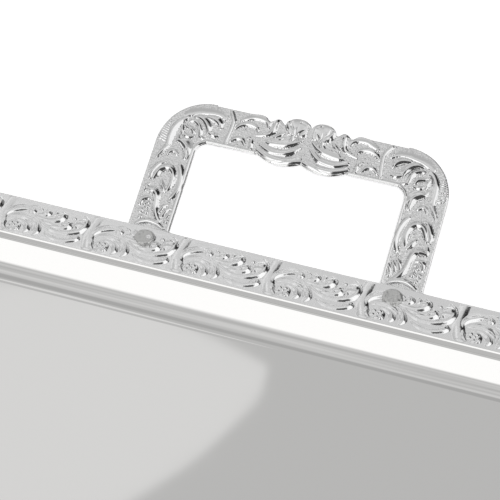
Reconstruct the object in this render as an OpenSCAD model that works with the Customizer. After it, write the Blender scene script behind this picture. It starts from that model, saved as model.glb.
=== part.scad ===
// Rectangular serving tray with an ornamental border and two riveted grip handles.
// X runs along the long side, from handle to handle. Z is up, and z = 0 is the face that the tray rests on.

/* [Border pattern] */
// Length of one scroll of the border pattern
scroll_pitch = 40; // [34:1:44]
// Scrolls along the straight part of a short side, which carries a handle
short_side_scrolls = 6; // [6:2:10]
// Scrolls along the straight part of a long side
long_side_scrolls = 9; // [7:1:14]
// Scrolls round one corner
corner_scrolls = 2; // [2:1:3]

/* [Sheet] */
// Thickness of the pressed sheet
sheet_t = 0.8; // [0.6:0.1:1.2]
// Width of the ornamental border, outer edge to inner step
border_w = 21.8; // [18:0.2:24]
// Height of the border above the plain ledge
border_step = 0.7; // [0.6:0.1:1]
// Width of the plain ledge, the step included
ledge_w = 2.3; // [2:0.1:4]
// Depth of the well, from the ledge to the floor
well_depth = 11.6; // [10:0.2:14]
// Slope of the wall from the horizontal, in degrees
wall_slope = 58; // [50:1:64]
// Radius where the wall meets the floor
cove_r = 5.5; // [4:0.5:8]
// Radius where the ledge turns down into the wall
brow_r = 1.5; // [1.2:0.1:2.4]
// How far the outer edge is turned down
edge_drop = 2.7; // [2.4:0.1:3.2]

/* [Handle] */
// Overall width of a handle
handle_w = 130; // [120:1:136]
// Reach of a handle along its own slope, from where its top face crosses the height of the rim
handle_reach = 57; // [52:1:62]
// Width of the legs and of the plain part of the bar
strap_w = 19; // [17:0.5:20]
// Thickness of the handle
handle_t = 4.2; // [3.8:0.1:4.8]
// Rise of the handle above the horizontal, in degrees
handle_tilt = 27; // [22:1:32]
// Outer corner radius of the handle
handle_corner_r = 22; // [18:1:28]
// Corner radius of the finger opening
opening_corner_r = 5; // [4:1:8]

/* [Rivets] */
// Distance between the two rivets of one handle
rivet_spacing = 108; // [104:1:110]
// Distance from the outer edge of the rim to the rivet's axis
rivet_inset = 6.8; // [6.4:0.2:7.4]
// Radius of the rivet's shank
shank_r = 2.5; // [2:0.1:2.6]
// Radius of both rivet heads
head_r = 4.4; // [4:0.1:4.6]

/* [Hidden] */

$fn = 64;
arc_steps = 8;

corner_r = border_w / 2 + corner_scrolls * scroll_pitch * 2 / PI;
straight_x = long_side_scrolls * scroll_pitch;
straight_y = short_side_scrolls * scroll_pitch;
rim_x = straight_x / 2 + corner_r;

floor_z = sheet_t;
ledge_z = floor_z + well_depth;
rim_z = ledge_z + border_step;
rim_under_z = rim_z - sheet_t;
edge_foot_z = rim_z - edge_drop;
edge_r = 1.8;

// The wall is a straight slope between two arcs, so its run follows from its height.
wall_run = (well_depth - (cove_r + brow_r) * (1 - cos(wall_slope))) / tan(wall_slope)
  + (cove_r + brow_r) * sin(wall_slope);
brow_end = border_w + ledge_w;
floor_start = brow_end + wall_run;

rivet_hole_r = shank_r + 0.05;
rivet_x = rim_x - rivet_inset;
formed_head_h = 1.4;
shop_head_h = 2;

// The neck passes under the turned-down edge of the rim.
edge_clearance = 0.2;
neck_top_z = edge_foot_z - edge_clearance;
foot_under_z = 7.6;
foot_outer = sheet_t + 0.8;
foot_end_r = strap_w / 2 - 0.5;
handle_origin_x = rim_x + (rim_z - edge_foot_z) / tan(handle_tilt);
strap_mid_y = (handle_w - strap_w) / 2;
root_reach = -(handle_origin_x - rim_x) / cos(handle_tilt) - handle_t;

// Middle ornament of the bar: two shallow lobes on the finger side and two crests outside.
lobe_r = 18;
lobe_y = 9.5;
lobe_bulge = 2.6;
crest_r = 4.6;
crest_y = 4.9;
crest_rise = 1.9;

function arc(cx, cy, r, from, to) = [
  for (i = [0:arc_steps]) let (a = from + (to - from) * i / arc_steps) [cx + r * cos(a), cy + r * sin(a)]
];

// Upper line of the section from the outer edge to the floor, pushed down by `gap`.
// The first number of each point is the distance inward from the outer edge.
function upper_line(gap) = concat(
  [[gap, edge_foot_z]],
  arc(edge_r, rim_z - edge_r, edge_r - gap, 180, 90),
  [[border_w - gap * tan(22.5), rim_z - gap]],
  [[border_w + border_step - gap * tan(22.5), ledge_z - gap]],
  arc(brow_end, ledge_z - brow_r, brow_r - gap, 90, 90 - wall_slope),
  arc(floor_start, floor_z + cove_r, cove_r + gap, 270 - wall_slope, 270)
);

function reversed(list) = [for (i = [len(list) - 1:-1:0]) list[i]];

// Section from the corner's centre line, x = 0, out to the edge of the rim.
module section() {
  line = concat(upper_line(0), [[corner_r, floor_z], [corner_r, 0]], reversed(upper_line(sheet_t)));
  polygon([for (p = line) [corner_r - p[0], p[1]]]);
}

module straight_side(length, offset_from_centre) {
  translate([offset_from_centre, length / 2, 0]) rotate([90, 0, 0]) linear_extrude(length) section();
}

module at_each_rivet() {
  for (sx = [-1, 1], sy = [-1, 1]) translate([sx * rivet_x, sy * rivet_spacing / 2, 0]) children();
}

module tray_body() {
  color("silver") difference() {
    union() {
      translate([-straight_x / 2, -straight_y / 2, 0]) cube([straight_x, straight_y, sheet_t]);
      for (side = [0, 180]) {
        rotate([0, 0, side]) straight_side(straight_y, straight_x / 2);
        rotate([0, 0, side + 90]) straight_side(straight_x, straight_y / 2);
        for (quarter = [0, 90])
          rotate([0, 0, side])
            translate([quarter == 0 ? straight_x / 2 : -straight_x / 2, straight_y / 2, 0])
              rotate([0, 0, quarter]) rotate_extrude(angle = 90) section();
      }
    }
    at_each_rivet() cylinder(r = rivet_hole_r, h = rim_z + 1);
  }
}

// Flat outline of the handle: x runs outward along the slope and y along the rim.
module handle_outline() {
  reach = handle_reach;
  half = handle_w / 2;
  inner_x = reach - strap_w;
  inner_y = half - strap_w;
  r = handle_corner_r;
  difference() {
    union() {
      translate([root_reach, -half]) square([reach - r - root_reach, handle_w]);
      translate([0, -half + r]) square([reach, handle_w - 2 * r]);
      for (s = [-1, 1]) translate([reach - r, s * (half - r)]) circle(r);
      for (s = [-1, 1]) translate([reach - crest_r + crest_rise, s * crest_y]) circle(crest_r);
    }
    difference() {
      union() {
        translate([root_reach - 1, -inner_y]) square([inner_x - opening_corner_r - root_reach + 1, 2 * inner_y]);
        translate([0, -inner_y + opening_corner_r]) square([inner_x, 2 * (inner_y - opening_corner_r)]);
        for (s = [-1, 1])
          translate([inner_x - opening_corner_r, s * (inner_y - opening_corner_r)]) circle(opening_corner_r);
      }
      for (s = [-1, 1]) translate([inner_x - lobe_bulge + lobe_r, s * lobe_y]) circle(lobe_r);
    }
  }
}

module foot(s) {
  translate([rivet_x, s * rivet_spacing / 2, foot_under_z]) {
    cylinder(r = foot_end_r, h = rim_under_z - foot_under_z);
    translate([0, -foot_end_r, 0]) cube([rivet_inset - foot_outer, 2 * foot_end_r, rim_under_z - foot_under_z]);
    translate([0, -foot_end_r, 0])
      cube([rivet_inset + handle_t, 2 * foot_end_r, neck_top_z - foot_under_z]);
  }
}

module handle() {
  block = 3 * handle_reach;
  color("silver") difference() {
    union() {
      difference() {
        translate([handle_origin_x, 0, rim_z])
          rotate([0, -handle_tilt, 0])
            translate([0, 0, -handle_t]) linear_extrude(handle_t) handle_outline();
        translate([rim_x + edge_clearance - block, -block / 2, 0]) cube([block, block, block]);
      }
      for (s = [-1, 1]) foot(s);
    }
    for (s = [-1, 1]) translate([rivet_x, s * rivet_spacing / 2, 0]) cylinder(r = rivet_hole_r, h = rim_z);
  }
}

// Solid rivet. The shop head is under the foot and the hammered head is on the border.
module rivet(sx, sy) {
  flat_r = head_r - 0.6;
  color("darkgray") translate([sx * rivet_x, sy * rivet_spacing / 2, 0]) {
    translate([0, 0, foot_under_z - 0.01]) cylinder(r = shank_r, h = rim_z - foot_under_z + 0.02);
    translate([0, 0, rim_z]) cylinder(r = head_r, h = formed_head_h - 0.5);
    translate([0, 0, rim_z + formed_head_h - 0.5]) cylinder(r1 = head_r, r2 = flat_r, h = 0.5);
    translate([0, 0, foot_under_z - shop_head_h]) cylinder(r1 = flat_r - 1, r2 = head_r, h = shop_head_h - 0.6);
    translate([0, 0, foot_under_z - 0.6]) cylinder(r = head_r, h = 0.6);
  }
}

tray_body();
rotate([0, 0, 180]) handle();  // handle_left
handle();  // handle_right
rivet(-1, -1);  // rivet_left_front
rivet(-1, 1);  // rivet_left_rear
rivet(1, -1);  // rivet_right_front
rivet(1, 1);  // rivet_right_rear
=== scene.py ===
import math

import bpy
import numpy as np
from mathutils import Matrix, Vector


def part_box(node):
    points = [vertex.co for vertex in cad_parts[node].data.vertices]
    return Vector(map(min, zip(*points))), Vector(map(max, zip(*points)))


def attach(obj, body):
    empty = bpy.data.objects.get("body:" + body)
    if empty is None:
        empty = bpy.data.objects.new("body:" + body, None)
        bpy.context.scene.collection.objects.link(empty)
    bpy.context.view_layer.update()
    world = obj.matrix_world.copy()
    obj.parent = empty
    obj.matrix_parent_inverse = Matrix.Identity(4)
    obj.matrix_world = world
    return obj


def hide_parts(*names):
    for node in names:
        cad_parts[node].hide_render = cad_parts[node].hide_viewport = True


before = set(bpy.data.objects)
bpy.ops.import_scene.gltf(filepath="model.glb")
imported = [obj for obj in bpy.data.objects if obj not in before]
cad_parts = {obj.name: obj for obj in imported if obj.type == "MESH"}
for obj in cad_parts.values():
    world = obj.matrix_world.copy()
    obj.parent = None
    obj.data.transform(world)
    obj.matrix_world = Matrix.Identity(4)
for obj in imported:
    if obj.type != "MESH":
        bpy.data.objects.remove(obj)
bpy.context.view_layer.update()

# ---- Sizes, in millimetres. The frame gives the tray's outline, height and rivets. ----
MM = 0.001
RIM_X, RIM_Y, RIM_Z = (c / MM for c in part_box("tray_body")[1])
RIVET_LOW, RIVET_HIGH = ([c / MM for c in corner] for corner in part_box("rivet_right_rear"))
RIVET_X = (RIVET_LOW[0] + RIVET_HIGH[0]) / 2
RIVET_Y = (RIVET_LOW[1] + RIVET_HIGH[1]) / 2
HEAD_R = (RIVET_HIGH[0] - RIVET_LOW[0]) / 2
HANDLE_HIGH = [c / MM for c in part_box("handle_right")[1]]

# The sheet's section, from the rolled edge inward: border, step, ledge, brow, wall, cove and floor
SHEET_T = 0.8
BORDER_W = 21.8
BORDER_STEP = 0.7
LEDGE_END = 24.1
WELL_DEPTH = 11.6
WALL_SLOPE = math.radians(58)
COVE_R = 11.0
CREASE = math.radians(3)
BROW_R = 1.5
EDGE_R = 1.0
EDGE_DROP = 2.7

# The border's scroll repeats a whole number of times on each side and round each corner
PITCH = 40.0
SHORT_SCROLLS = 6
LONG_SCROLLS = 9
CORNER_SCROLLS = 2
CORNER_R = BORDER_W / 2 + CORNER_SCROLLS * PITCH * 2 / math.pi
MID_R = CORNER_R - BORDER_W / 2

HANDLE_TILT = math.radians(27)
HANDLE_HALF = HANDLE_HIGH[1]
HANDLE_REACH = 57.0
HANDLE_T = 4.2
STRAP_W = 19.0
OUTER_CORNER = 22.0
INNER_CORNER = 5.0
HANDLE_START = EDGE_DROP / math.tan(HANDLE_TILT)
# The handle's foot: how far in from the rim's edge it starts, how far in it starts and stops
# levelling, its top and underside, and half its width
FOOT_START = 0.3
FOOT_LEVELS = (0.9, 2.9)
FOOT_TOP = -SHEET_T
FOOT_UNDER = RIVET_LOW[2] + 2.0 - RIM_Z
FOOT_HALF = STRAP_W / 2 - 0.5


# ---- Relief: strokes drawn on a plane, each with its own height ----
# What the drawn heights are multiplied by
SCROLL_DEPTH = 1.2
HANDLE_DEPTH = 1.15
PUNCH_DEPTH = 0.22


def smoothstep(t):
    """0 below 0, 1 above 1, and an S-shaped rise between them."""
    t = np.clip(t, 0, 1)
    return t * t * (3 - 2 * t)


def curve_samples(points, per_span=9):
    """Catmull-Rom samples through rows of (x, y, height, spread)."""
    p = np.array(points, float)
    p = np.vstack([2 * p[0] - p[1], p, 2 * p[-1] - p[-2]])
    out = []
    for a, b, c, d in zip(p, p[1:], p[2:], p[3:]):
        t = np.linspace(0, 1, per_span, endpoint=False)[:, None]
        slope = (c - a) * t
        square = (2 * a - 5 * b + 4 * c - d) * t**2
        cube = (3 * b - a - 3 * c + d) * t**3
        out.append(0.5 * (2 * b + slope + square + cube))
    out.append(p[-2][None])
    return np.vstack(out)


class Relief:
    """A height field at the points x, y, built up stroke by stroke."""

    # A leaf's rolled edge: its width for each unit of height, the share of it outside the curve,
    # its roundness, and the share of it after which the back falls
    EDGE_WIDTH = 1.45
    EDGE_OUTSIDE = 0.4
    EDGE_POWER = 1.6
    BACK_START = 0.8
    # How far past its last point a leaf fades out
    END_FADE = 0.8

    def __init__(self, x, y, period=None):
        self.x = x
        self.y = y
        self.z = np.zeros(x.shape)
        self.shifts = (0.0,) if period is None else (-period, 0.0, period)

    def _near(self, points, reach):
        """Yields the points near a curve: their index, how far left of it and past its ends they
        lie, and its height and spread beside them."""
        samples = curve_samples(points)
        steps = np.gradient(samples, axis=0)
        lengths = np.maximum(np.linalg.norm(steps[:, :2], axis=1), 1e-9)
        steps /= lengths[:, None]
        last = len(samples) - 1
        for shift in self.shifts:
            x = self.x + shift
            box = (
                (x > samples[:, 0].min() - reach)
                & (x < samples[:, 0].max() + reach)
                & (self.y > samples[:, 1].min() - reach)
                & (self.y < samples[:, 1].max() + reach)
            )
            index = np.nonzero(box)
            if not len(index[0]):
                continue
            dx = x[index][:, None] - samples[None, :, 0]
            dy = self.y[index][:, None] - samples[None, :, 1]
            k = np.argmin(dx * dx + dy * dy, axis=1)
            rows = np.arange(len(k))
            dx, dy = dx[rows, k], dy[rows, k]
            across = steps[k, 0] * dy - steps[k, 1] * dx
            along = steps[k, 0] * dx + steps[k, 1] * dy
            past = np.maximum(np.where(k == 0, -along, np.where(k == last, along, 0)), 0)
            within = np.clip(along, -lengths[k], lengths[k])
            height = np.maximum(samples[k, 2] + steps[k, 2] * within, 0)
            spread = np.maximum(samples[k, 3] + steps[k, 3] * within, 0.15)
            yield index, across, past, height, spread

    def shingle(self, points, side, foot=0.2):
        """A leaf whose edge rolls up steeply at the curve and whose back falls gently over its spread."""
        for index, across, past, height, spread in self._near(points, 6.0):
            steep = foot + self.EDGE_WIDTH * height
            start = side * across + self.EDGE_OUTSIDE * steep
            rise = 1 - (1 - np.clip(start / steep, 0, 1)) ** self.EDGE_POWER
            fall = smoothstep(1 - np.maximum(start - steep * self.BACK_START, 0) / spread)
            end = np.clip(1 - past / self.END_FADE, 0, 1)
            self.z[index] = np.maximum(self.z[index], height * rise * fall * end)

    def ridge(self, points, power=0.7):
        """A rounded ridge. Each row's last number is half its width."""
        for index, across, past, height, spread in self._near(points, 4.0):
            dome = np.clip(1 - (across**2 + past**2) / spread**2, 0, 1) ** power
            self.z[index] = np.maximum(self.z[index], height * dome)

    def groove(self, points):
        """A cut with a rounded section. Each row is (x, y, depth, half width)."""
        for index, across, past, height, spread in self._near(points, 1.5):
            self.z[index] -= height * smoothstep(1 - np.hypot(across, past) / spread)

    def boss(self, x, y, radius, height, power=0.6):
        """A round knob."""
        self.ridge([(x - 0.01, y, height, radius), (x + 0.01, y, height, radius)], power)


def scroll_relief(u, v):
    """One scroll of the border. u runs clockwise along the rim and v inward from its outer edge."""
    r = Relief(u, v, period=PITCH)
    # The broad S-shaped stem that parts one scroll from the next
    r.ridge([(3.6, 0.0, 0.2, 2.2), (2.9, 6.4, 0.4, 2.4), (2.8, 11.4, 0.5, 2.6), (3.8, 16.0, 0.5, 2.7),
             (6.3, 23.0, 0.3, 2.4)], power=1.0)
    r.shingle([(5.2, 14.2, 0.3, 2.5), (5.6, 12.0, 0.6, 3.0), (6.8, 10.2, 0.85, 3.4), (8.7, 8.8, 0.9, 3.6),
               (11.0, 7.5, 0.85, 3.4), (13.0, 6.9, 0.5, 2.6), (15.0, 7.0, 0.2, 2.0)], side=-1)
    r.shingle([(5.2, 14.2, 0.2, 2.0), (6.4, 16.2, 0.6, 2.6), (6.9, 18.0, 0.7, 2.6),
               (7.9, 19.8, 0.3, 1.5)], side=1)
    # Leaves that wrap round the flower
    r.shingle([(6.6, 13.2, 0.2, 2.0), (8.6, 12.5, 0.5, 2.6), (11.1, 12.1, 0.75, 3.0),
               (13.9, 12.5, 0.75, 3.0), (16.1, 13.7, 0.6, 2.6), (18.0, 15.4, 0.4, 2.0),
               (18.9, 17.5, 0.2, 1.5)], side=-1)
    r.shingle([(17.4, 10.6, 0.2, 2.0), (19.9, 12.6, 0.6, 2.6), (21.4, 14.9, 0.95, 2.8),
               (22.2, 16.9, 0.95, 2.6), (22.1, 18.6, 0.7, 2.2), (21.0, 20.2, 0.3, 1.4)], side=1)
    r.shingle([(9.4, 13.9, 0.2, 1.0), (11.8, 13.3, 0.55, 1.3), (14.3, 13.9, 0.7, 1.5),
               (16.3, 15.3, 0.9, 1.7), (17.4, 17.0, 0.95, 1.8), (17.5, 18.6, 0.8, 1.7),
               (16.6, 20.0, 0.4, 1.2)], side=1)
    # Flower
    r.boss(10.4, 17.5, 3.3, 0.35, power=0.4)
    for i in range(5):
        angle = math.radians(72 * i + 8)
        petal_u, petal_v = 10.2 + 1.9 * math.cos(angle), 17.4 + 1.8 * math.sin(angle)
        r.boss(petal_u, petal_v, 1.4 - 0.06 * i, 0.5 + 0.05 * i, power=0.9)
    r.boss(10.3, 17.3, 0.8, 0.85)
    r.boss(12.4, 18.9, 1.2, 0.95, power=0.9)
    # The four nested waves, the outermost first
    r.shingle([(38.2, 2.8, 0.3, 2.0), (40.1, 4.7, 0.9, 3.4), (41.2, 7.6, 1.25, 3.8),
               (40.9, 10.3, 1.25, 3.6), (39.4, 12.9, 1.15, 3.0), (36.3, 14.8, 1.0, 2.4),
               (32.4, 15.9, 0.85, 2.2), (28.0, 15.9, 0.7, 2.0), (24.9, 15.0, 0.55, 1.8),
               (22.1, 13.3, 0.4, 1.5), (19.9, 11.4, 0.15, 1.0)], side=1)
    r.shingle([(39.3, 14.9, 0.3, 1.2), (40.0, 16.4, 0.8, 1.8), (39.1, 18.1, 0.9, 2.0),
               (37.1, 19.3, 0.85, 2.0), (34.4, 20.3, 0.75, 2.0), (31.6, 20.5, 0.65, 2.0),
               (28.6, 20.0, 0.55, 1.8), (26.1, 18.8, 0.4, 1.6), (24.4, 17.2, 0.15, 1.0)], side=1)
    r.shingle([(31.6, 7.6, 0.4, 1.4), (33.4, 8.6, 1.0, 2.0), (34.2, 10.6, 1.35, 2.2),
               (33.5, 12.4, 1.3, 2.0), (31.7, 13.5, 1.15, 1.8), (29.2, 13.7, 0.9, 1.6),
               (26.1, 13.1, 0.7, 1.4), (23.0, 12.0, 0.5, 1.2), (20.4, 10.8, 0.2, 0.8)], side=1)
    r.shingle([(28.0, 3.4, 0.3, 1.6), (29.5, 4.6, 0.9, 2.4), (29.9, 6.5, 1.2, 2.8), (29.2, 8.5, 1.2, 2.6),
               (27.4, 9.9, 1.05, 2.2), (24.9, 10.6, 0.85, 1.8), (22.1, 10.6, 0.6, 1.4),
               (19.3, 9.9, 0.4, 1.2), (17.2, 9.2, 0.2, 0.8)], side=1)
    # Small curls along the outer edge
    r.shingle([(13.4, 4.8, 0.2, 1.0), (15.0, 5.3, 0.6, 1.4), (16.1, 6.7, 0.8, 1.6), (15.7, 8.1, 0.7, 1.4),
               (14.2, 8.6, 0.3, 1.0)], side=1)
    r.shingle([(20.9, 3.9, 0.3, 1.2), (22.4, 4.9, 0.8, 1.8), (22.8, 6.5, 0.95, 2.0),
               (21.9, 7.8, 0.85, 1.8), (20.3, 8.3, 0.6, 1.4), (18.2, 8.1, 0.3, 1.0)], side=1)
    r.shingle([(24.7, 3.7, 0.2, 0.8), (25.7, 4.8, 0.5, 1.0), (25.4, 6.4, 0.5, 1.0),
               (24.3, 7.3, 0.2, 0.8)], side=1)
    r.shingle([(12.8, 4.4, 0.2, 0.8), (14.8, 3.8, 0.5, 1.1), (16.8, 3.8, 0.5, 1.1),
               (18.4, 4.6, 0.2, 0.8)], side=1)
    r.boss(18.1, 4.9, 0.7, 0.5)
    r.boss(33.6, 5.6, 0.9, 0.55)
    # Veins
    r.groove([(8.0, 11.2, 0.0, 0.3), (12.0, 9.9, 0.3, 0.6), (16.0, 10.3, 0.2, 0.5)])
    r.groove([(6.2, 8.6, 0.0, 0.3), (8.8, 6.4, 0.3, 0.6), (12.4, 5.4, 0.1, 0.4)])
    r.groove([(14.8, 12.4, 0.05, 0.3), (16.6, 13.2, 0.35, 0.6), (18.2, 14.4, 0.05, 0.3)])
    r.groove([(19.0, 13.4, 0.05, 0.4), (20.2, 15.2, 0.35, 0.6), (20.4, 17.6, 0.1, 0.4)])
    r.groove([(22.5, 12.3, 0.0, 0.3), (27.0, 12.6, 0.35, 0.5), (31.6, 11.6, 0.25, 0.5),
              (32.4, 9.6, 0.0, 0.4)])
    r.groove([(21.0, 9.6, 0.0, 0.3), (24.4, 9.4, 0.3, 0.5), (27.2, 8.2, 0.25, 0.5),
              (28.0, 6.0, 0.0, 0.4)])
    r.groove([(25.0, 14.2, 0.0, 0.3), (30.5, 14.8, 0.35, 0.5), (36.0, 13.2, 0.3, 0.5),
              (38.8, 9.6, 0.25, 0.5), (38.9, 6.0, 0.0, 0.4)])
    r.groove([(33.0, 13.6, 0.0, 0.3), (36.0, 11.2, 0.25, 0.5), (36.9, 7.6, 0.2, 0.5),
              (36.2, 5.0, 0.0, 0.4)])
    r.groove([(26.0, 17.6, 0.0, 0.3), (31.5, 18.6, 0.35, 0.5), (37.4, 17.4, 0.1, 0.4)])
    # The rounded heads of the waves and curls
    for x, y, radius, height in ((38.0, 8.0, 3.6, 1.55), (32.0, 10.2, 2.3, 1.4), (27.8, 6.5, 2.2, 1.3),
                                 (38.0, 17.0, 2.0, 1.0), (21.0, 6.4, 1.6, 1.0), (14.4, 6.9, 1.3, 0.8)):
        r.boss(x, y, radius, height, power=0.7)
    # Plain strips at the outer edge and along the step
    from_edge = np.clip((v - 0.8) / 1.2, 0, 1)
    from_step = np.clip((BORDER_W - 0.5 - v) / 0.8, 0, 1)
    return SCROLL_DEPTH * r.z * from_edge * from_step


# ---- Meshes ----
def quad_grid(rows, cols, wrap=False):
    """Vertex numbers of a grid's quads, row by row. wrap joins the last column to the first."""
    spans = cols if wrap else cols - 1
    i, j = np.divmod(np.arange((rows - 1) * spans), spans)
    k = (j + 1) % cols
    return np.stack([i * cols + j, i * cols + k, (i + 1) * cols + k, (i + 1) * cols + j], axis=1)


def new_piece(name, verts, quads, node, materials, extra_faces=(), normals=None, finish=None):
    """A smooth mesh piece from points in millimetres. It rides on the root and replaces its node.

    extra_faces are faces of any size after the quads, and finish is each quad's material number.
    """
    loops = np.concatenate([quads.ravel()] + [np.asarray(f) for f in extra_faces]).astype(np.int32)
    starts = np.arange(0, quads.size, 4)
    extra_starts = quads.size + np.cumsum([0] + [len(f) for f in extra_faces])[:-1]
    starts = np.concatenate([starts, extra_starts]).astype(np.int32)
    mesh = bpy.data.meshes.new(name)
    mesh.vertices.add(len(verts))
    mesh.vertices.foreach_set("co", (np.asarray(verts) * MM).astype(np.float32).ravel())
    mesh.loops.add(len(loops))
    mesh.loops.foreach_set("vertex_index", loops)
    mesh.polygons.add(len(starts))
    mesh.polygons.foreach_set("loop_start", starts)
    mesh.update(calc_edges=True)
    mesh.validate()
    mesh.shade_smooth()
    if normals is not None:
        mesh.normals_split_custom_set_from_vertices(normals.tolist())
    for material in materials:
        mesh.materials.append(material)
    if finish is not None:
        finish = np.append(finish, [0] * len(extra_faces)).astype(np.int32)
        mesh.polygons.foreach_set("material_index", finish)
    piece = bpy.data.objects.new(name, mesh)
    bpy.context.collection.objects.link(piece)
    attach(piece, "root")
    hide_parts(node)
    return piece


# ---- The tray: one pressed sheet, in runs of rim and a floor ----
LEDGE_Z = -BORDER_STEP
FLOOR_Z = LEDGE_Z - WELL_DEPTH
BEND_R = COVE_R + BROW_R
BEND_DROP = BEND_R * (1 - math.cos(WALL_SLOPE))
WALL_RUN = (WELL_DEPTH - BEND_DROP) / math.tan(WALL_SLOPE) + BEND_R * math.sin(WALL_SLOPE)
FLOOR_START = LEDGE_END + WALL_RUN
FLOOR_CUT = FLOOR_START + 4.0
CREASE_RUN = 2 * COVE_R * math.sin(CREASE)
CREASE_DIP = 2 * COVE_R * (1 - math.cos(CREASE))
STRAIGHT_X = RIM_X - CORNER_R
STRAIGHT_Y = RIM_Y - CORNER_R
LIP_R = 0.25
LIP_SLOPE = math.radians(57)
LIP_START = BORDER_W - 0.1
# How far the handles' feet lift the rim's edge above them, and how far that reaches along it and inward
LIFT = 0.45
LIFT_ALONG = 10.0
LIFT_INWARD = 9.0
# Stations to a scroll and rows across it: finer on the short sides, which carry the handles
FINE_GRID = (160, 74)
COARSE_GRID = (132, 62)
UNDER_ROWS = 16


class Section:
    """The sheet's section as rows of (inward distance, height, normal inward, normal up)."""

    def __init__(self):
        self.rows = []

    def arc(self, v, z, radius, start, end, steps, convex=True):
        """An arc round (v, z) between two angles in degrees."""
        sign = 1 if convex else -1
        for a in np.radians(np.linspace(start, end, steps + 1)):
            cos, sin = math.cos(a), math.sin(a)
            self.rows.append((v + radius * cos, z + radius * sin, sign * cos, sign * sin))

    def point(self, v, z, n_in, n_up):
        self.rows.append((v, z, n_in, n_up))

    def array(self):
        return np.array(self.rows)


def edge_section():
    """The turned-down outer edge, from its inner face round to the border."""
    s = Section()
    foot = SHEET_T / 2
    s.arc(foot, foot - EDGE_DROP, foot, 0, -180, 4)
    s.arc(EDGE_R, -EDGE_R, EDGE_R, 180, 90, 6)
    return s.array()


def well_section():
    """From the lip at the border's inner side, over the ledge and down the wall to the floor."""
    s = Section()
    lip, wall, crease = (math.degrees(a) for a in (LIP_SLOPE, WALL_SLOPE, CREASE))
    foot_v = LIP_START + 2 * LIP_R * math.sin(LIP_SLOPE)
    foot_v += (BORDER_STEP - 2 * LIP_R * (1 - math.cos(LIP_SLOPE))) / math.tan(LIP_SLOPE)
    s.arc(LIP_START, -LIP_R, LIP_R, 90, 90 - lip, 3)
    s.arc(foot_v, LEDGE_Z + LIP_R, LIP_R, 270 - lip, 270, 3, convex=False)
    s.arc(LEDGE_END, LEDGE_Z - BROW_R, BROW_R, 90, 90 - wall, 6)
    # The cove dips a little below the floor and comes back up to it over a faint crease
    s.arc(FLOOR_START, FLOOR_Z - CREASE_DIP + COVE_R, COVE_R, 270 - wall, 270 + crease, 14, convex=False)
    s.arc(FLOOR_START + CREASE_RUN, FLOOR_Z - COVE_R, COVE_R, 90 + 0.7 * crease, 90, 3)
    s.point(FLOOR_CUT, FLOOR_Z, 0, 1)
    return s.array()


def under_well_section():
    """The underside from the floor back up to the border."""
    s = Section()
    wall = math.degrees(WALL_SLOPE)
    s.point(FLOOR_CUT, FLOOR_Z - SHEET_T, 0, -1)
    s.arc(FLOOR_START, FLOOR_Z + COVE_R, COVE_R + SHEET_T, 270, 270 - wall, 6)
    s.arc(LEDGE_END, LEDGE_Z - BROW_R, BROW_R - SHEET_T, 90 - wall, 90, 3, convex=False)
    s.point(BORDER_W + BORDER_STEP / 2, LEDGE_Z - SHEET_T, 0.2, -1)
    return s.array()


def under_edge_section():
    """The underside of the rolled edge."""
    s = Section()
    s.arc(EDGE_R, -EDGE_R, EDGE_R - SHEET_T, 90, 180, 4, convex=False)
    return s.array()


def side_frame(side, t):
    """Points on the outer edge of a straight side, with outward and clockwise directions."""
    half = (STRAIGHT_Y, STRAIGHT_X)[side % 2]
    reach = (RIM_X, RIM_Y)[side % 2]
    outward = np.array([(1, 0), (0, -1), (-1, 0), (0, 1)][side], float)
    forward = np.array([outward[1], -outward[0]])
    base = outward * reach + np.outer((2 * t - 1) * half, forward)
    return base, np.tile(outward, (len(t), 1)), np.tile(forward, (len(t), 1))


def corner_frame(side, t):
    """The same round the corner that follows a side."""
    angle = -math.pi / 2 * (side + t)
    outward = np.stack([np.cos(angle), np.sin(angle)], axis=1)
    forward = np.stack([outward[:, 1], -outward[:, 0]], axis=1)
    middle = -math.pi / 2 * (side + 0.5)
    centre_x = math.copysign(STRAIGHT_X, math.cos(middle))
    centre_y = math.copysign(STRAIGHT_Y, math.sin(middle))
    return (centre_x, centre_y) + outward * CORNER_R, outward, forward


def tile_heights(stations, rows):
    """Heights and slopes of one scroll on a grid of stations along it by rows across it."""
    u = np.arange(stations) * PITCH / stations
    grid_u, grid_v = np.meshgrid(u, rows, indexing="ij")
    z = scroll_relief(grid_u, grid_v)
    du = (np.roll(z, -1, axis=0) - np.roll(z, 1, axis=0)) * stations / (2 * PITCH)
    dv = np.gradient(z, rows, axis=1)
    return z, du, dv


def foot_lift(along, v):
    """How far a handle's feet lift the rim's edge, at a distance along a short side from its middle."""
    swell = np.exp(-(((np.abs(along) - RIVET_Y) / LIFT_ALONG) ** 2))
    return LIFT * swell * np.clip(1 - v / LIFT_INWARD, 0, 1) ** 2


def plain_strip(section, count):
    """A plain part of the section at every station, as distance in, height and the normal's parts."""
    v, z, n_in, n_up = (np.tile(column, (count, 1)) for column in section.T)
    return v, z, n_in, np.zeros_like(v), n_up


def embossed_strip(v, heights, numbers, corner, under):
    """The border or its underside, as distance in, height and the normal's parts.

    heights is what tile_heights gives for v, and numbers says which of its stations come in turn.
    """
    z, slope_u, slope_v = (a[numbers] for a in heights)
    v = np.tile(v, (len(numbers), 1))
    stretch = (CORNER_R - v) / MID_R if corner else np.ones_like(v)
    if under:
        z, slope_u, slope_v, v, stretch = (
            grid[:, ::-1] for grid in (z - SHEET_T, slope_u, slope_v, v, stretch)
        )
    sign = -1.0 if under else 1.0
    return v, z, -sign * slope_v, -sign * slope_u / stretch, np.full_like(v, sign)


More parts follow.
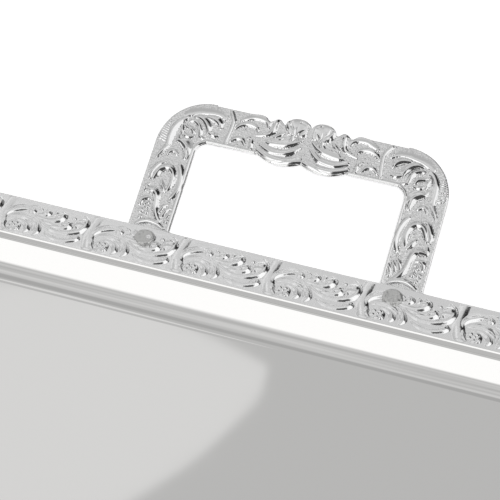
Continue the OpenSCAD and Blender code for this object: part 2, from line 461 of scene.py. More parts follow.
def rim_run(name, side, corner, start, end, materials):
    """A run of rim. start and end are scrolls counted from the start of its side or corner."""
    short = side % 2 == 0 and not corner
    scrolls = CORNER_SCROLLS if corner else (SHORT_SCROLLS, LONG_SCROLLS)[side % 2]
    per_scroll, rows = FINE_GRID if short else COARSE_GRID
    count = round((end - start) * per_scroll) + 1
    t = np.linspace(start, end, count) / scrolls
    base, outward, forward = (corner_frame if corner else side_frame)(side, t)
    numbers = (round(start * per_scroll) + np.arange(count)) % per_scroll

    top_v = np.linspace(EDGE_R, LIP_START, rows + 2)[1:-1]
    under_v = np.linspace(EDGE_R, LIP_START, UNDER_ROWS + 2)[1:-1]
    edge, well = edge_section(), well_section()
    strips = [
        plain_strip(edge, count),
        embossed_strip(top_v, tile_heights(per_scroll, top_v), numbers, corner, under=False),
        plain_strip(well, count),
        plain_strip(under_well_section(), count),
        embossed_strip(under_v, tile_heights(per_scroll, under_v), numbers, corner, under=True),
        plain_strip(under_edge_section(), count),
    ]
    v, z, n_in, n_on, n_up = (np.concatenate(parts, axis=1) for parts in zip(*strips))
    if short:
        along = ((2 * t - 1) * STRAIGHT_Y)[:, None]
        step = 0.05
        lifted = foot_lift(along, v)
        z = z + lifted
        n_on = n_on - (foot_lift(along + step, v) - lifted) / step * np.maximum(n_up, 0)
    xy = base[:, None] - outward[:, None] * v[..., None]
    points = np.concatenate([xy, (z + RIM_Z)[..., None]], axis=2)
    n_xy = forward[:, None] * n_on[..., None] - outward[:, None] * n_in[..., None]
    normals = np.concatenate([n_xy, n_up[..., None]], axis=2)
    normals /= np.linalg.norm(normals, axis=2, keepdims=True)

    cols = points.shape[1]
    caps = [np.arange(cols), (count - 1) * cols + np.arange(cols)[::-1]]
    well_start = len(edge) + rows
    in_well = (np.arange(cols) >= well_start) & (np.arange(cols) < well_start + len(well))
    verts, normals = points.reshape(-1, 3), normals.reshape(-1, 3)
    quads, finish = quad_grid(count, cols, wrap=True), np.tile(in_well, count - 1)
    return new_piece(name, verts, quads, "tray_body", materials, caps, normals, finish)


def floor_piece(material):
    """The flat floor inside the last row of the rim runs."""
    t = np.linspace(0, 1, CORNER_SCROLLS * COARSE_GRID[0] + 1)
    outline = []
    for side in range(4):
        base, outward, _ = corner_frame(side, t)
        outline.append(base - outward * FLOOR_CUT)
    outline = np.vstack(outline)
    n = len(outline)
    top = np.column_stack([outline, np.full(n, RIM_Z + FLOOR_Z)])
    under = np.column_stack([outline, np.full(n, RIM_Z + FLOOR_Z - SHEET_T)])
    verts = np.vstack([top, under])
    ring = np.arange(n)
    quads = np.stack([ring, (ring + 1) % n, n + (ring + 1) % n, n + ring], axis=1)
    normals = np.vstack([np.tile((0.0, 0.0, 1.0), (n, 1)), np.tile((0.0, 0.0, -1.0), (n, 1))])
    faces = [ring[::-1], n + ring]
    return new_piece("tray_floor", verts, quads, "tray_body", [material], faces, normals)


def tray(border, well):
    """The whole sheet: two runs of rim to a side, one round each corner, and the floor."""
    sides = ("right", "front", "left", "rear")
    for side, word in enumerate(sides):
        scrolls = (SHORT_SCROLLS, LONG_SCROLLS)[side % 2]
        after = sides[(side + 1) % 4]
        rim_run(f"rim_{word}_a", side, False, 0, scrolls / 2, (border, well))
        rim_run(f"rim_{word}_b", side, False, scrolls / 2, scrolls, (border, well))
        rim_run(f"rim_corner_{word}_{after}", side, True, 0, CORNER_SCROLLS, (border, well))
    floor_piece(well)


# ---- Handles ----
HANDLE_STATIONS = 510
HANDLE_COLUMNS = 80
# How the stations are shared out: to half the bar, the corner, the leg and the foot
STATION_SHARES = np.array([HANDLE_HALF - OUTER_CORNER, 34.0, 41.0, 12.0])
TILT_COS, TILT_SIN = math.cos(HANDLE_TILT), math.sin(HANDLE_TILT)
LEG_END = -(HANDLE_START + FOOT_START) / TILT_COS
# The leg's thickness at its lower end, as a share of the bar's, how many stations it thins over,
# and how many its relief fades over
LEG_THINNING = 0.85
THINNING_STATIONS = 40
FADE_STATIONS = 8
EDGE_ROUND = 0.9
BEAD_INSET = 1.25
# The lobe under each middle leaf: its distance from the middle, radius and depth below the bar
LOBE = (9.5, 18.0, 2.6)
# The leaf's round head: the reach of its centre, its distance from the middle, half width and height
CREST = (54.9, 5.6, 5.65, 4.0)
# Along the bar's outer edge: swells and dips as distance from the middle, height and width
EDGE_SWELLS = ((22.8, 0.5, 3.0), (15.0, 0.3, 1.3), (11.8, -1.6, 1.5), (18.2, -1.6, 1.7))
# The hollow back of the casting, from its inner side: places as shares of the width, and depths
BACK_PLACES = np.array((0.94, 0.8344, 0.5, 0.1656, 0.06))
BACK_HOLLOW = np.array((0.0, 0.35, 0.5, 0.35, 0.0))


def bar_edges(x):
    """Reach of the bar's outer and inner edges at a distance x from its middle."""
    outer = np.full_like(x, HANDLE_REACH - 0.5)
    for middle, height, width in EDGE_SWELLS:
        outer += height * np.exp(-(((x - middle) / width) ** 2))
    start, middle, half, rise = CREST
    crest = start + rise * np.sqrt(np.clip(1 - ((x - middle) / half) ** 2, 0, None))
    outer = np.where(np.abs(x - middle) < half, crest, outer)
    middle, radius, depth = LOBE
    round_part = np.sqrt(np.clip(radius**2 - (x - middle) ** 2, 0, None))
    lobe = HANDLE_REACH - STRAP_W - depth + radius - round_part
    return outer, np.minimum(HANDLE_REACH - STRAP_W, lobe)


def on_slope(x, reach):
    """Points of the handle's face: x from its middle along the rim, reach up its slope."""
    return np.stack([x, HANDLE_START + reach * TILT_COS, reach * TILT_SIN], axis=-1)


def slope_edges(counts):
    """Outer and inner edges from the bar's middle, round the corner and down the leg."""
    outer_x, outer_h = HANDLE_HALF - OUTER_CORNER, HANDLE_REACH - OUTER_CORNER
    inner_x, inner_h = HANDLE_HALF - STRAP_W - INNER_CORNER, HANDLE_REACH - STRAP_W - INNER_CORNER
    t = np.linspace(0, 1, counts[0], endpoint=False)
    outer = [on_slope(t * outer_x, bar_edges(t * outer_x)[0])]
    inner = [on_slope(t * inner_x, bar_edges(t * inner_x)[1])]
    a = np.linspace(math.pi / 2, 0, counts[1], endpoint=False)
    outer.append(on_slope(outer_x + OUTER_CORNER * np.cos(a), outer_h + OUTER_CORNER * np.sin(a)))
    inner.append(on_slope(inner_x + INNER_CORNER * np.cos(a), inner_h + INNER_CORNER * np.sin(a)))
    t = np.linspace(0, 1, counts[2], endpoint=False)
    outer.append(on_slope(np.full_like(t, HANDLE_HALF), outer_h + t * (LEG_END - outer_h)))
    inner.append(on_slope(np.full_like(t, HANDLE_HALF - STRAP_W), inner_h + t * (LEG_END - inner_h)))
    return np.vstack(outer), np.vstack(inner)


def foot_edges(count):
    """Edges of the foot, flat under the rim with a round end, and how far in each station is."""
    rivet_in = RIM_X - RIVET_X
    v = np.linspace(FOOT_START, rivet_in + FOOT_HALF, count)
    leg_end_z = LEG_END * TILT_SIN
    level_from, level_to = FOOT_LEVELS
    top = leg_end_z + (FOOT_TOP - leg_end_z) * smoothstep((v - level_from) / (level_to - level_from))
    round_end = np.sqrt(np.clip(FOOT_HALF**2 - (v - rivet_in) ** 2, 0.01, None))
    half = np.where(v > rivet_in, round_end, FOOT_HALF)
    under_rivet = np.clip(v / 4, 0, 1)
    middle = (HANDLE_HALF - STRAP_W / 2) * (1 - under_rivet) + RIVET_Y * under_rivet
    outer = np.stack([middle + half, -v, top], axis=1)
    inner = np.stack([middle - half, -v, top], axis=1)
    return outer, inner, v


def half_handle():
    """Half a handle, station by station from the bar's middle to the foot's end.

    Gives the outer and inner edge points as (distance along the rim, outward from its edge, height
    above its top), the direction of the thickness, the thickness, and how many stations come
    before the foot.
    """
    counts = np.round(HANDLE_STATIONS * STATION_SHARES / STATION_SHARES.sum()).astype(int)
    outer, inner = slope_edges(counts)
    foot_outer, foot_inner, v = foot_edges(counts[3])
    tilted = np.array([0.0, -TILT_SIN, TILT_COS])
    turn = np.clip(v / 3, 0, 1)
    foot_up = np.outer(1 - turn, tilted) + np.outer(turn, (0.0, 0.0, 1.0))
    foot_up /= np.linalg.norm(foot_up, axis=1, keepdims=True)
    up = np.vstack([np.tile(tilted, (len(outer), 1)), foot_up])
    thick = np.full(len(outer), HANDLE_T)
    thick[-THINNING_STATIONS:] = np.linspace(HANDLE_T, HANDLE_T * LEG_THINNING, THINNING_STATIONS)
    foot_thick = (1 - turn) * HANDLE_T * LEG_THINNING + turn * (foot_outer[:, 2] - FOOT_UNDER)
    before_foot = len(outer)
    outer, inner = np.vstack([outer, foot_outer]), np.vstack([inner, foot_inner])
    return outer, inner, up, np.append(thick, foot_thick), before_foot


def centre_relief(r):
    """The two curled leaves that meet at the bar's middle."""
    r.boss(5.4, 54.4, 5.6, 1.3, power=0.45)
    r.shingle([(10.4, 57.6, 0.5, 2.0), (11.3, 55.6, 1.2, 3.0), (10.1, 53.0, 1.2, 3.0),
               (7.9, 51.5, 0.9, 2.4), (7.2, 49.2, 0.8, 2.4), (8.4, 47.4, 0.4, 2.0)], side=-1)
    r.shingle([(2.0, 49.0, 0.3, 2.0), (5.0, 46.3, 0.8, 3.0), (8.9, 44.5, 1.0, 3.2),
               (14.8, 43.9, 0.8, 3.0), (17.4, 44.6, 0.3, 2.0)], side=1)
    r.shingle([(2.0, 45.4, 0.3, 2.0), (4.5, 42.6, 0.8, 3.0), (7.4, 40.7, 1.0, 3.0),
               (11.2, 40.0, 1.0, 3.0), (14.8, 40.3, 0.9, 3.0), (19.8, 42.7, 0.4, 2.0)], side=1)
    r.shingle([(0.0, 39.2, 0.5, 3.0), (3.0, 37.8, 1.0, 3.0), (7.1, 36.8, 1.1, 3.0),
               (12.5, 36.9, 1.1, 3.0), (17.1, 38.3, 0.9, 2.6), (20.6, 40.4, 0.4, 2.0)], side=1)
    r.shingle([(10.6, 50.4, 0.2, 1.2), (11.9, 49.0, 0.6, 1.4), (13.9, 47.5, 0.5, 1.2)], side=1)
    r.shingle([(10.6, 47.9, 0.2, 1.2), (12.0, 46.9, 0.6, 1.4), (14.0, 46.1, 0.4, 1.2)], side=1)
    r.shingle([(15.9, 56.9, 0.3, 1.2), (16.1, 54.8, 0.9, 1.6), (16.3, 52.4, 1.1, 1.6),
               (16.8, 50.2, 0.9, 1.6), (18.2, 48.4, 0.3, 1.0)], side=-1)
    r.shingle([(14.4, 49.8, 0.3, 1.5), (17.9, 47.7, 0.5, 1.6), (22.4, 46.5, 0.2, 1.2)], side=1)
    r.groove([(2.6, 55.8, 0.1, 0.5), (4.6, 56.5, 0.4, 0.7)])
    r.groove([(2.4, 53.4, 0.1, 0.6), (4.2, 51.2, 0.5, 0.9), (4.4, 48.4, 0.2, 0.7)])
    r.groove([(5.6, 54.6, 0.1, 0.5), (6.0, 52.4, 0.4, 0.7), (5.6, 49.8, 0.5, 0.8), (6.4, 47.4, 0.2, 0.6)])
    r.groove([(8.6, 56.2, 0.1, 0.5), (8.4, 54.2, 0.45, 0.7), (7.2, 52.8, 0.2, 0.6)])
    for drop in (1.9, 4.9, 8.0):
        r.groove([(4.6, 47.2 - drop, 0.05, 0.4), (9.0, 45.2 - drop, 0.25, 0.6),
                  (15.0, 44.6 - drop, 0.05, 0.4)])


def panel_relief(r):
    """The small panel between the middle leaves and the corner."""
    r.shingle([(18.4, 51.2, 0.2, 1.5), (19.6, 53.1, 0.6, 3.0), (22.0, 53.9, 0.6, 3.0),
               (25.0, 53.9, 0.6, 3.0), (27.8, 52.9, 0.5, 2.5), (30.6, 52.0, 0.2, 1.5)], side=1)
    r.shingle([(22.4, 48.4, 0.3, 0.8), (23.4, 49.8, 0.6, 1.2), (26.6, 50.5, 0.7, 1.6),
               (29.6, 49.6, 0.7, 1.6), (31.9, 47.8, 0.3, 1.0)], side=1)
    r.shingle([(24.2, 44.4, 0.4, 1.2), (24.2, 42.4, 0.8, 1.6), (23.8, 40.4, 0.4, 1.2)], side=-1)
    r.shingle([(26.2, 40.9, 0.3, 0.8), (27.8, 42.7, 0.6, 1.4), (30.0, 43.2, 0.6, 1.4),
               (32.6, 41.5, 0.3, 1.0)], side=1)
    r.boss(25.2, 44.9, 0.8, 0.6)
    r.boss(30.4, 52.0, 0.8, 0.5)
    r.boss(23.2, 39.9, 0.9, 0.7)
    r.boss(29.6, 40.3, 0.8, 0.4)
    r.ridge([(35.8, 54.8, 0.7, 0.9), (33.9, 51.6, 0.9, 1.0), (33.6, 48.2, 0.9, 1.0),
             (34.4, 40.7, 0.7, 0.9)], power=0.8)


def corner_relief(r):
    """The fan of leaves inside the corner, the plain outer band and the long stem."""
    r.shingle([(36.8, 50.2, 0.2, 2.0), (41.1, 51.8, 0.35, 3.5), (47.0, 51.2, 0.4, 4.0),
               (51.5, 49.9, 0.4, 4.0), (55.4, 48.0, 0.3, 3.0)], side=1)
    r.shingle([(54.6, 48.6, 0.4, 2.0), (57.4, 46.0, 0.9, 2.6), (59.3, 42.4, 1.1, 2.6),
               (59.8, 38.4, 1.0, 2.4), (59.7, 34.4, 0.7, 2.0), (60.6, 31.6, 0.3, 1.2)], side=-1)
    for i in range(10):
        reed = 45.6 - 1.05 * i
        r.ridge([(60.6, reed - 0.6, 0.25, 0.45), (63.4, reed + 0.2, 0.35, 0.5)])
    r.shingle([(38.9, 46.2, 0.3, 1.6), (40.0, 47.7, 1.0, 2.4), (42.2, 49.0, 1.1, 2.4),
               (45.5, 49.9, 0.6, 1.6)], side=1)
    r.shingle([(43.6, 42.8, 0.3, 1.6), (44.6, 45.0, 1.0, 2.6), (46.4, 47.2, 1.1, 2.6),
               (48.6, 48.5, 1.0, 2.0), (51.0, 48.9, 0.4, 1.2)], side=1)
    r.shingle([(46.6, 40.4, 0.3, 1.4), (47.5, 43.0, 0.9, 1.8), (48.7, 45.4, 0.9, 1.8),
               (50.7, 46.6, 0.7, 1.4), (52.4, 46.4, 0.3, 1.0)], side=1)
    r.shingle([(49.6, 41.2, 0.4, 1.2), (50.8, 42.6, 0.8, 1.4), (53.0, 43.4, 0.6, 1.2),
               (54.2, 44.4, 0.3, 1.0)], side=1)
    r.shingle([(54.4, 39.6, 0.4, 1.0), (55.1, 41.6, 0.8, 1.4), (55.5, 44.0, 0.4, 1.0)], side=1)
    r.shingle([(48.8, 39.9, 0.3, 1.0), (50.8, 39.0, 0.7, 1.4), (52.8, 39.3, 0.7, 1.4),
               (54.0, 40.8, 0.3, 1.0)], side=1)
    r.shingle([(38.4, 42.7, 0.3, 1.2), (40.2, 41.9, 0.7, 2.0), (42.2, 42.4, 0.7, 2.0),
               (44.2, 43.8, 0.3, 1.2)], side=1)
    r.shingle([(44.3, 39.8, 0.3, 0.8), (45.6, 40.0, 0.6, 1.0), (47.0, 41.0, 0.3, 0.8)], side=1)
    r.shingle([(50.2, 29.6, 0.5, 2.5), (50.5, 31.8, 1.2, 3.6), (51.3, 33.8, 1.4, 4.0),
               (53.2, 35.5, 1.3, 3.6), (55.4, 36.8, 0.8, 2.0), (56.0, 38.8, 0.3, 1.0)], side=1)
    r.groove([(49.9, 34.0, 0.1, 0.5), (49.3, 32.0, 0.45, 0.7), (49.2, 29.8, 0.2, 0.5)])
    r.ridge([(53.4, 30.6, 0.3, 0.8), (55.4, 31.8, 0.6, 0.9), (57.0, 31.0, 0.7, 0.9),
             (57.5, 29.6, 0.3, 0.6)])
    r.ridge([(58.9, 33.4, 0.6, 1.2), (60.2, 30.8, 0.9, 1.1), (61.8, 28.0, 0.5, 0.7)])
    r.boss(37.0, 51.9, 0.8, 0.4)
    r.boss(46.6, 50.2, 0.7, 0.4)


def leg_relief(r):
    """The hooks and scrolls on a leg, from the corner down to the rim."""
    r.shingle([(51.4, 26.0, 0.4, 1.4), (50.0, 23.0, 1.0, 2.0), (49.1, 19.5, 1.1, 2.2),
               (48.9, 15.5, 1.1, 2.2), (49.7, 12.5, 0.8, 1.8), (51.0, 10.4, 0.3, 1.0)], side=-1)
    r.shingle([(53.2, 13.8, 0.3, 1.2), (52.6, 16.6, 0.9, 1.6), (52.6, 19.2, 1.1, 1.8),
               (53.4, 21.6, 1.1, 2.0), (55.4, 22.9, 1.2, 2.4), (57.6, 21.8, 1.2, 2.4),
               (59.0, 19.4, 1.0, 2.0), (60.2, 17.4, 0.4, 1.2)], side=1)
    r.shingle([(57.6, 26.2, 0.3, 1.2), (59.8, 25.2, 0.8, 1.8), (61.4, 23.0, 1.1, 2.0),
               (62.6, 20.2, 1.1, 1.8), (62.2, 17.4, 0.5, 1.2)], side=-1)
    r.shingle([(53.6, 12.6, 0.3, 0.8), (55.2, 14.0, 0.9, 1.2), (56.4, 16.0, 0.8, 1.2),
               (56.6, 17.4, 0.3, 0.8)], side=1)
    r.shingle([(52.0, -1.4, 0.3, 1.4), (54.6, 1.2, 0.9, 2.0), (56.2, 4.6, 1.1, 2.0),
               (56.8, 8.0, 1.1, 2.0), (57.8, 10.6, 1.2, 2.4), (59.6, 11.4, 1.2, 2.4),
               (62.2, 11.8, 0.6, 1.6)], side=1)
    r.shingle([(62.0, 15.0, 0.4, 1.0), (62.6, 13.4, 0.9, 1.2), (62.4, 11.8, 0.4, 1.0)], side=-1)
    r.shingle([(58.4, 8.6, 0.2, 0.8), (60.4, 9.0, 0.7, 1.4), (62.4, 7.8, 1.0, 1.6),
               (63.0, 5.2, 0.5, 1.2)], side=-1)
    r.shingle([(58.2, 6.6, 0.2, 0.8), (59.6, 6.9, 0.5, 1.0), (60.7, 5.6, 0.5, 1.0)], side=-1)
    r.boss(58.9, 4.4, 1.1, 0.8)
    r.boss(58.6, 2.0, 1.1, 0.7)
    r.boss(61.2, 2.4, 1.2, 0.7)
    r.boss(60.6, -0.4, 1.0, 0.5)
    for x, h in ((47.6, 5.0), (49.4, 6.2), (51.2, 7.6)):
        r.shingle([(x, h, 0.4, 1.2), (x + 1.5, h - 1.6, 0.8, 1.3), (x + 2.5, h - 4.4, 0.3, 1.0)], side=-1)
    r.boss(48.9, 0.0, 1.0, 0.6)
    r.boss(50.6, 9.0, 0.6, 0.5)
    r.shingle([(49.4, -3.9, 0.3, 1.2), (52.4, -2.7, 0.8, 1.8), (56.0, -2.2, 0.9, 1.8),
               (58.8, -2.9, 0.8, 1.6), (61.6, -4.4, 0.3, 1.0)], side=1)


def punch_marks(x, y, pitch, size, seed):
    """Round dots, one to a cell of a grid, each off its middle by a seeded amount."""
    rng = np.random.default_rng(seed)
    offsets = rng.uniform(0.15, 0.85, (128, 128, 2))
    cell_x, cell_y = np.floor(x / pitch).astype(int), np.floor(y / pitch).astype(int)
    marks = np.zeros_like(x)
    for i in (-1, 0, 1):
        for j in (-1, 0, 1):
            offset = offsets[(cell_x + i) % 128, (cell_y + j) % 128]
            dx = x - (cell_x + i + offset[..., 0]) * pitch
            dy = y - (cell_y + j + offset[..., 1]) * pitch
            marks = np.maximum(marks, np.clip(1 - (dx * dx + dy * dy) / size**2, 0, 1))
    return marks


def opening_bead(r):
    """The bead along the handle's opening."""
    bead_h = HANDLE_REACH - STRAP_W + BEAD_INSET
    bead_x = HANDLE_HALF - STRAP_W + BEAD_INSET
    middle_x, middle_h = bead_x - BEAD_INSET - INNER_CORNER, bead_h - BEAD_INSET - INNER_CORNER
    radius = INNER_CORNER + BEAD_INSET
    bead = [(21.0, bead_h), (middle_x, bead_h)]
    for a in np.radians((67.5, 45.0, 22.5)):
        bead.append((middle_x + radius * math.cos(a), middle_h + radius * math.sin(a)))
    bead += [(bead_x, h) for h in (middle_h, 20.0, 5.0, -4.0)]
    r.ridge([(x, h, 0.6, 0.75) for x, h in bead], power=0.8)


def handle_relief(x, h):
    """The cast ornament of half a handle: x from the middle along the rim, h up its slope."""
    r = Relief(x, h)
    centre_relief(r)
    panel_relief(r)
    corner_relief(r)
    leg_relief(r)
    opening_bead(r)
    # The punched ground, which shows between the leaves
    punched = punch_marks(x, h, pitch=0.9, size=0.45, seed=11)
    ground = np.clip(1 - r.z / 0.2, 0, 1)
    return HANDLE_DEPTH * r.z - PUNCH_DEPTH * punched * ground


def handle(name, node, sign, material):
    """One casting, swept from foot to foot. sign is +1 for the handle at +X."""
    outer, inner, up, thick, before_foot = half_handle()
    width = np.linalg.norm(inner - outer, axis=1)[:, None]
    across = (inner - outer) / width
    thick = thick[:, None]
    rounding = np.minimum(EDGE_ROUND, 0.3 * width)

    # The face, whose relief fades out before the foot
    face = rounding + np.linspace(0, 1, HANDLE_COLUMNS) * (width - 2 * rounding)
    face_xyz = outer[:, None] + across[:, None] * face[..., None]
    relief = handle_relief(face_xyz[..., 0], (face_xyz[..., 1] - HANDLE_START) / TILT_COS)
    relief *= np.clip((before_foot - np.arange(len(outer))) / FADE_STATIONS, 0, 1)[:, None]

    # The section: places across the width and heights over the face, round by the inner side,
    # the hollow back and the outer side
    places, heights = [face], [relief]
    for a in np.radians((60, 30, 0)):
        places.append(width - rounding + rounding * math.cos(a))
        heights.append(-rounding + rounding * math.sin(a))
    places.append(width * BACK_PLACES)
    heights.append(-thick + BACK_HOLLOW * np.minimum(1.0, thick - 2))
    for a in np.radians((180, 150, 120)):
        places.append(rounding + rounding * math.cos(a))
        heights.append(-rounding + rounding * math.sin(a))
    places, heights = np.concatenate(places, axis=1), np.concatenate(heights, axis=1)

    half = outer[:, None] + across[:, None] * places[..., None] + up[:, None] * heights[..., None]
    whole = np.concatenate([half[:0:-1] * (-1, 1, 1), half])
    along, outward, height = np.moveaxis(whole, 2, 0)
    xyz = np.stack([sign * (RIM_X + outward), -sign * along, RIM_Z + height], axis=2)
    rows, cols = along.shape
    quads = quad_grid(rows, cols, wrap=True)[:, ::-1]
    caps = [np.arange(cols)[::-1], (rows - 1) * cols + np.arange(cols)]
    return new_piece(name, xyz.reshape(-1, 3), quads, node, [material], caps)


# ---- Rivets ----
SHANK_R = 2.5
RIVET_SEGMENTS = 72


def rivet(node, seed, material):
    """A solid rivet: a hammered head on the border, the shank, and a domed head under the foot."""
    low, high = ([c / MM for c in corner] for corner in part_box(node))
    x, y = (low[0] + high[0]) / 2, (low[1] + high[1]) / 2
    top, end = high[2], low[2]
    head = [(0.05, top - 0.10), (1.6, top - 0.06), (2.8, top - 0.01), (3.4, top - 0.05),
            (3.8, top - 0.18), (4.1, top - 0.42), (4.3, top - 0.75), (HEAD_R, top - 1.1),
            (4.3, RIM_Z + 0.1), (4.0, RIM_Z - 0.1)]
    shank = [(SHANK_R, RIM_Z - 0.2), (SHANK_R, end + 2.1)]
    tail = [(4.0, end + 2.0), (HEAD_R, end + 1.7), (4.2, end + 1.1), (3.4, end + 0.5),
            (2.0, end + 0.1), (0.05, end)]
    fine = curve_samples([(r, z, 0, 0) for r, z in head + shank + tail], per_span=4)[:, :2]
    angle = np.arange(RIVET_SEGMENTS) * 2 * math.pi / RIVET_SEGMENTS
    r = np.clip(fine[:, :1], 0.02, HEAD_R)
    px, py = x + r * np.cos(angle), y + r * np.sin(angle)

    # Shallow dents, on the head alone
    phase = np.random.default_rng(seed).uniform(0, 2 * math.pi, 2)
    dents = 0.035 * np.sin(px * 2.1 + phase[0]) * np.sin(py * 2.7 + phase[1]) - 0.035
    pz = fine[:, 1:] + dents * np.clip((fine[:, 1:] - top + 0.4) / 0.3, 0, 1)

    xyz = np.stack([px, py, np.clip(pz, end, top)], axis=2)
    rows = len(fine)
    quads = quad_grid(rows, RIVET_SEGMENTS, wrap=True)[:, ::-1]
    ring = np.arange(RIVET_SEGMENTS)
    caps = [ring[::-1], (rows - 1) * RIVET_SEGMENTS + ring]
    name = node.replace("rivet", "rivet_visual")
    return new_piece(name, xyz.reshape(-1, 3), quads, node, [material], caps)


# ---- Materials ----
def add_node(tree, kind, inputs):
    """A new shader node with its inputs set."""
    node = tree.nodes.new(kind)
    set_inputs(tree, node, inputs)
    return node


def set_inputs(tree, node, inputs):
    """Sets a node's inputs, by name or number, to values or to other nodes' outputs."""
    for key, value in inputs.items():
        if isinstance(value, bpy.types.NodeSocket):
            tree.links.new(value, node.inputs[key])
        else:
            node.inputs[key].default_value = value


def metal(name, colour, roughness, bump=0.0, bump_scale=400.0):
    """Polished metal whose roughness wanders between two values, with an optional fine grain."""
    material = bpy.data.materials.new(name)
    material.use_nodes = True
    tree = material.node_tree
    place = tree.nodes.new("ShaderNodeTexCoord").outputs["Object"]
    patches = add_node(tree, "ShaderNodeTexNoise", {"Vector": place, "Scale": 60.0, "Detail": 6.0})
    span = {"Value": patches.outputs["Fac"], "To Min": roughness[0], "To Max": roughness[1]}
    wander = add_node(tree, "ShaderNodeMapRange", span).outputs["Result"]
    shader = tree.nodes["Principled BSDF"]
    set_inputs(tree, shader, {"Base Color": (*colour, 1), "Metallic": 1.0, "Roughness": wander})
    if bump:
        fine = {"Vector": place, "Scale": bump_scale, "Detail": 8.0}
        grain = add_node(tree, "ShaderNodeTexNoise", fine).outputs["Fac"]
        bumps = {"Strength": bump, "Distance": 0.0005, "Height": grain}
        normal = add_node(tree, "ShaderNodeBump", bumps).outputs["Normal"]
        set_inputs(tree, shader, {"Normal": normal})
    return material


# ---- Camera, studio and floor ----
CAMERA_AZIMUTH = math.radians(18.65)
CAMERA_ELEVATION = math.radians(45.3)
CAMERA_DISTANCE = 711.0
CAMERA_TARGET = (-9.6, 0.6, 0.0)
CAMERA_LENS = 122.4


def on_rim(along, outward, height):
    """A point in metres, from millimetres measured at the middle of the +X side's edge."""
    return Vector(((RIM_X + outward) * MM, -along * MM, (RIM_Z + height) * MM))


def camera():
    """The camera, at the photograph's angle."""
    flat = math.cos(CAMERA_ELEVATION)
    back = (
        math.sin(CAMERA_AZIMUTH) * flat,
        -math.cos(CAMERA_AZIMUTH) * flat,
        math.sin(CAMERA_ELEVATION),
    )
    place = on_rim(*(t + CAMERA_DISTANCE * b for t, b in zip(CAMERA_TARGET, back)))
    data = bpy.data.cameras.new("camera")
    data.sensor_width = 36.0
    data.lens = CAMERA_LENS
    data.clip_start = 0.01
    data.clip_end = 100.0
    item = bpy.data.objects.new("camera", data)
    item.location = place
    item.rotation_euler = (on_rim(*CAMERA_TARGET) - place).to_track_quat("-Z", "Y").to_euler()
    bpy.context.collection.objects.link(item)
    bpy.context.scene.camera = item


# The pale panel that the well's floor mirrors: its corners' azimuth and elevation, and its softness
PANEL_CORNERS = (
    (-35, 44.7), (-25.5, 46.6), (-21.5, 47.8), (-17.7, 49.2), (-18.1, 50.3), (-21.5, 52.3), (-35, 55.9)
)
PANEL_BLUR = 0.004
# Areas that reach up from the horizon: azimuth, half width in full and where they end, sine of the
# elevation where they end and up to which they are in full, and brightness
AREAS = (
    # A white panel to the side
    (100, 32, 42, 0.95, 0.88, 1.05),
    # A dark gap beyond it, wider and less dark low down
    (36, 25, 35, 0.84, 0.68, 0.02),
    (48, 34, 44, 0.40, 0.30, 0.22),
    # A dark gap on the other side
    (240, 12, 24, 0.58, 0.44, 0.10),
    # The camera and whoever stands behind it
    (153, 18, 24, 0.90, 0.82, 0.07),
)


def aim(azimuth, elevation):
    """A direction by its azimuth, clockwise from outward at the +X side, and its elevation."""
    a, e = math.radians(azimuth), math.radians(elevation)
    return (math.cos(a) * math.cos(e), -math.sin(a) * math.cos(e), math.sin(e))


class Surround:
    """Shader nodes in the world's tree that give a brightness to every direction."""

    def __init__(self, tree):
        self.tree = tree
        self.direction = tree.nodes.new("ShaderNodeTexCoord").outputs["Generated"]
        self.up = self.along((0, 0, 1))
        self.outward = self.along(aim(0, 0))

    def calculate(self, operation, *values):
        node = add_node(self.tree, "ShaderNodeMath", dict(enumerate(values)))
        node.operation = operation
        return node.outputs[0]

    def times(self, a, b):
        return self.calculate("MULTIPLY", a, b)

    def along(self, direction):
        """How far the direction looked in lies along another one."""
        node = add_node(self.tree, "ShaderNodeVectorMath", {0: self.direction, 1: direction})
        node.operation = "DOT_PRODUCT"
        return node.outputs["Value"]

    def smooth(self, value, start, full):
        """0 before start and 1 beyond full, which may lie on either side of it."""
        inputs = {"Value": value, "From Min": start, "From Max": full}
        node = add_node(self.tree, "ShaderNodeMapRange", inputs)
        node.interpolation_type = "SMOOTHSTEP"
        return node.outputs["Result"]

    def mix(self, factor, a, b):
        """a where factor is 0 and b where it is 1."""
        rest = self.calculate("SUBTRACT", 1.0, factor)
        return self.calculate("ADD", self.times(a, rest), self.times(b, factor))

    def heading(self, azimuth, inner, outer):
        """1 within inner degrees of an azimuth and 0 beyond outer, at any elevation."""
        flat_squared = self.calculate("SUBTRACT", 1.0, self.times(self.up, self.up))
        flat = self.calculate("SQRT", self.calculate("ADD", flat_squared, 0.001))
        turn = self.calculate("DIVIDE", self.along(aim(azimuth, 0)), flat)
        return self.smooth(turn, math.cos(math.radians(outer)), math.cos(math.radians(inner)))

    def inside(self, corners, blur):
        """1 inside a polygon of directions, its corners anticlockwise as seen from the tray."""
        result = 1.0
        for start, end in zip(corners, corners[1:] + corners[:1]):
            edge = np.cross(aim(*start), aim(*end))
            edge /= np.linalg.norm(edge)
            result = self.times(result, self.smooth(self.along(edge), blur, -blur))
        return result

    def clutter(self):
        """Soft blotches, except round the directions that the well's floor mirrors."""
        inputs = {"Vector": self.direction, "Scale": 3.2, "Detail": 1.0}
        noise = add_node(self.tree, "ShaderNodeTexNoise", inputs)
        away = self.smooth(self.along(aim(-18.65, 48)), 0.98, 0.93)
        return self.times(away, self.calculate("SUBTRACT", noise.outputs["Fac"], 0.5))


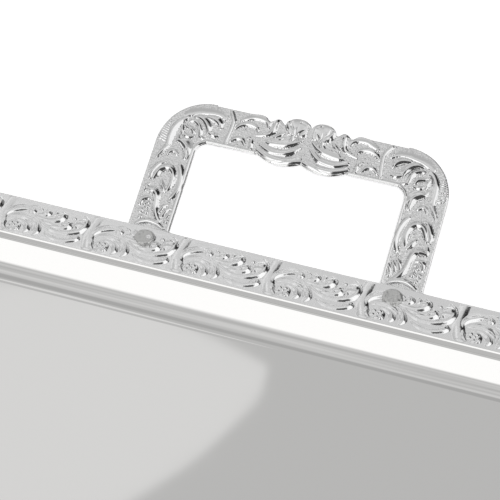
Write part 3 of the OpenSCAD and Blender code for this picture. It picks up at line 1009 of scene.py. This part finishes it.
def brightness(sky):
    """The studio's brightness in each direction."""
    # Grey on the far side, lighter overhead
    level = sky.mix(sky.smooth(sky.outward, 0.40, 0.0), 0.62, 0.70)
    level = sky.calculate("ADD", level, sky.clutter())
    # Lighter low on the far side
    band = sky.times(sky.smooth(sky.up, 0.66, 0.62), sky.smooth(sky.up, 0.48, 0.56))
    level = sky.mix(sky.times(band, sky.smooth(sky.outward, 0.35, 0.5)), level, 0.80)
    # A darker streak between that and overhead
    streak = sky.times(sky.smooth(sky.outward, 0.06, 0.16), sky.smooth(sky.outward, 0.42, 0.32))
    level = sky.mix(streak, level, 0.5)
    level = sky.mix(sky.inside(PANEL_CORNERS, PANEL_BLUR), level, 0.86)
    # White, low down, on the camera's side, and whitest nearly straight inward
    low = sky.times(sky.smooth(sky.outward, -0.15, -0.45), sky.smooth(sky.up, 0.72, 0.56))
    level = sky.mix(low, level, sky.mix(sky.heading(195, 14, 28), 0.85, 1.3))
    for azimuth, inner, outer, end, full, value in AREAS:
        area = sky.times(sky.heading(azimuth, inner, outer), sky.smooth(sky.up, end, full))
        level = sky.mix(area, level, value)
    return level


def surround():
    """The world: the metal mirrors the studio, and the camera sees plain white."""
    world = bpy.data.worlds.new("studio")
    bpy.context.scene.world = world
    world.use_nodes = True
    tree = world.node_tree
    tree.nodes.clear()
    mirrored = add_node(tree, "ShaderNodeBackground", {"Color": brightness(Surround(tree))})
    seen = add_node(tree, "ShaderNodeBackground", {"Color": (1.0, 1.0, 1.0, 1.0)})
    rays = tree.nodes.new("ShaderNodeLightPath")
    choice = {0: rays.outputs["Is Camera Ray"], 1: mirrored.outputs[0], 2: seen.outputs[0]}
    choose = add_node(tree, "ShaderNodeMixShader", choice)
    add_node(tree, "ShaderNodeOutputWorld", {"Surface": choose.outputs[0]})


def paper_floor():
    """A plain pale floor just under the tray."""
    half, z = 3.0, -0.0003
    mesh = bpy.data.meshes.new("floor")
    corners = [(-half, -half, z), (half, -half, z), (half, half, z), (-half, half, z)]
    mesh.from_pydata(corners, [], [(0, 1, 2, 3)])
    floor = bpy.data.objects.new("floor", mesh)
    bpy.context.collection.objects.link(floor)
    paper = bpy.data.materials.new("floor_paper")
    paper.use_nodes = True
    glow = {"Emission Color": (1, 1, 1, 1), "Emission Strength": 0.58}
    look = {"Base Color": (0.85, 0.85, 0.85, 1), "Roughness": 0.9, **glow}
    set_inputs(paper.node_tree, paper.node_tree.nodes["Principled BSDF"], look)
    mesh.materials.append(paper)


bpy.context.scene.view_settings.view_transform = "Standard"
camera()
surround()
paper_floor()
border = metal("tray_border", (0.93, 0.93, 0.93), (0.10, 0.18), bump=0.2)
well = metal("tray_well", (0.765, 0.76, 0.75), (0.02, 0.05))
cast = metal("handle_cast", (0.84, 0.84, 0.84), (0.06, 0.14), bump=0.15)
dull = metal("rivet_metal", (0.68, 0.68, 0.67), (0.20, 0.42), bump=1.0, bump_scale=650.0)
tray(border, well)
handle("handle_right_cast", "handle_right", 1, cast)
handle("handle_left_cast", "handle_left", -1, cast)
for number, place in enumerate(("left_front", "left_rear", "right_front", "right_rear")):
    rivet(f"rivet_{place}", number, dull)
